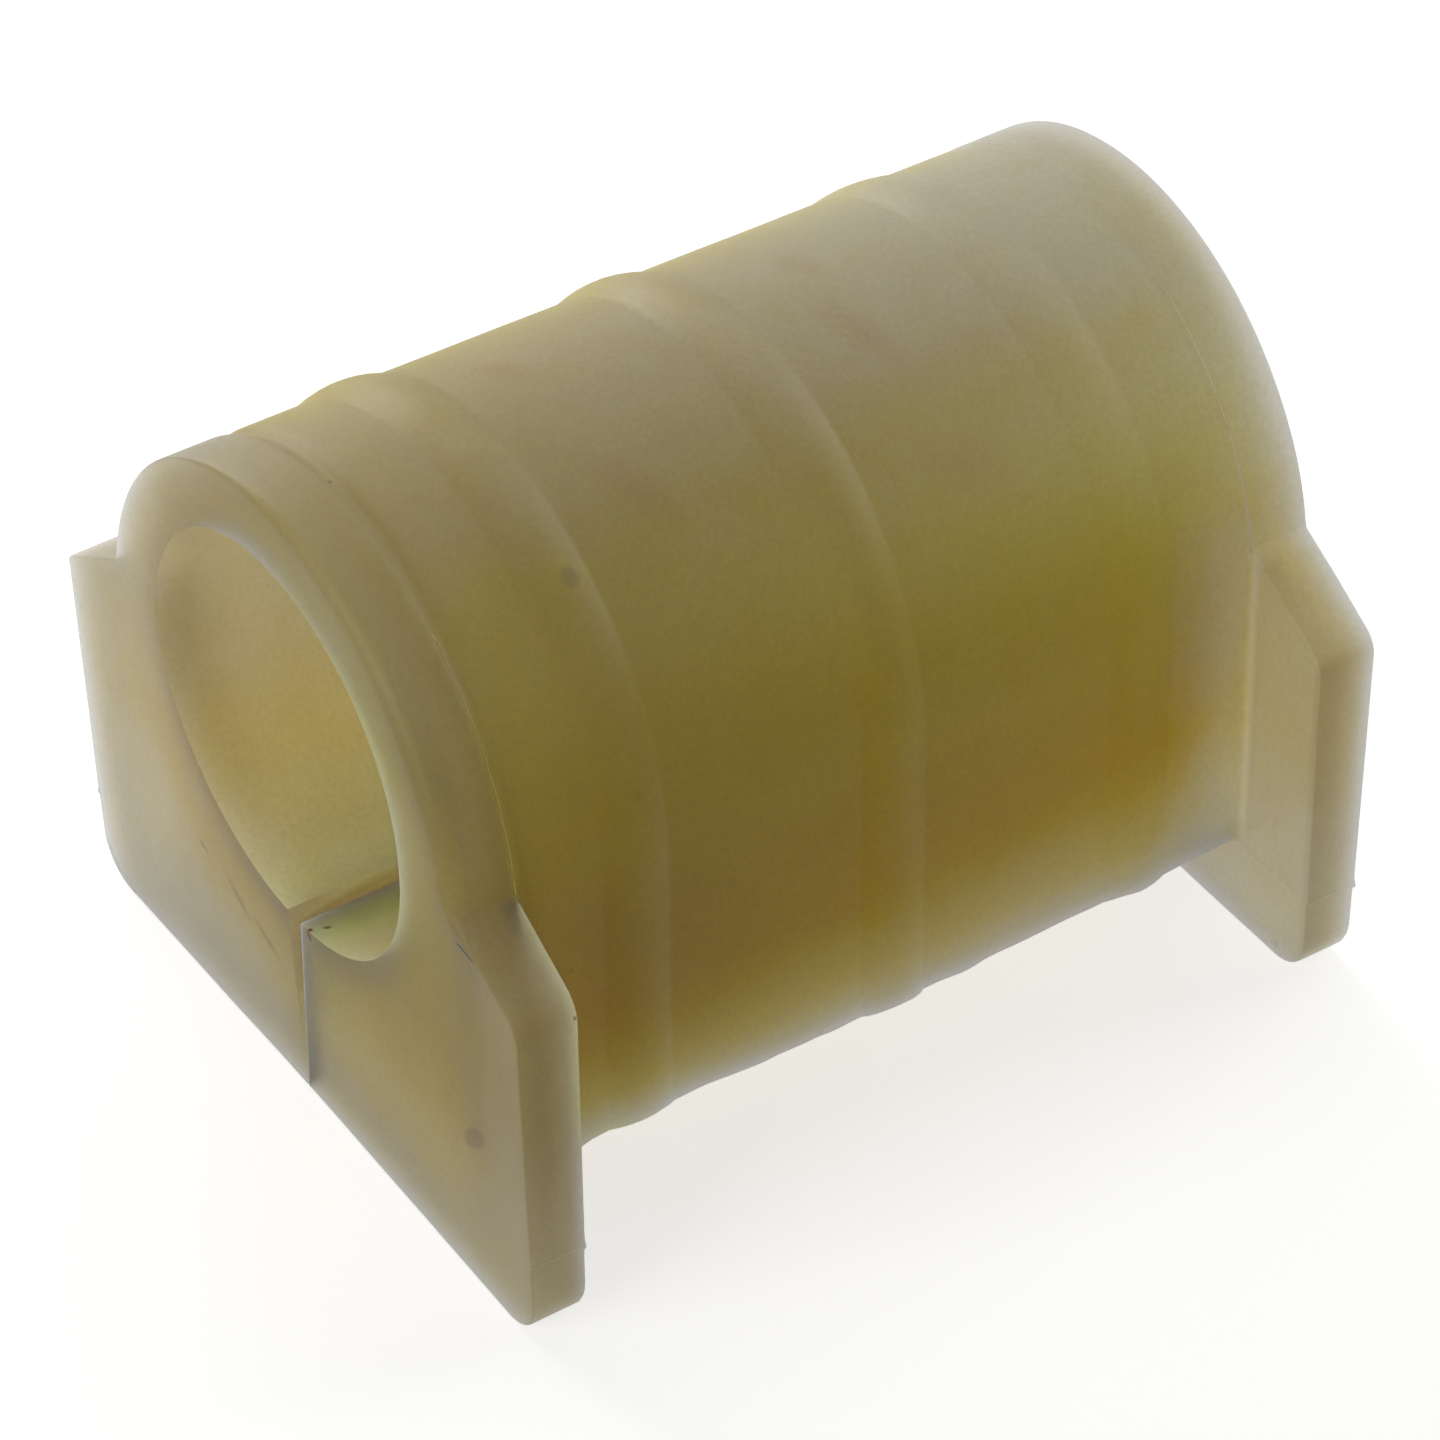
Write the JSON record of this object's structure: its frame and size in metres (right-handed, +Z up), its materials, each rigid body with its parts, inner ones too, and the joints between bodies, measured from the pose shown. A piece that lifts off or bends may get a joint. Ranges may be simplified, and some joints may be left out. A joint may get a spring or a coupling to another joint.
{
  "type": "sway bar bushing",
  "caption": "One-piece cast polyurethane bushing with a round bore, a slit underside, a beaded D-shaped barrel and a flange at each end.",
  "frame": {"origin": "middle of the footprint, on the plane that the feet of both flanges stand on", "axes": "+X across the bar, +Y along the bore and the bar, +Z up from the feet to the round back"},
  "size_m": [0.084, 0.1, 0.076],
  "materials": {
    "polyurethane": "satin, cast, translucent milky amber"
  },
  "bodies": {
    "root": {"bushing": "polyurethane"}
  },
  "joints": []
}
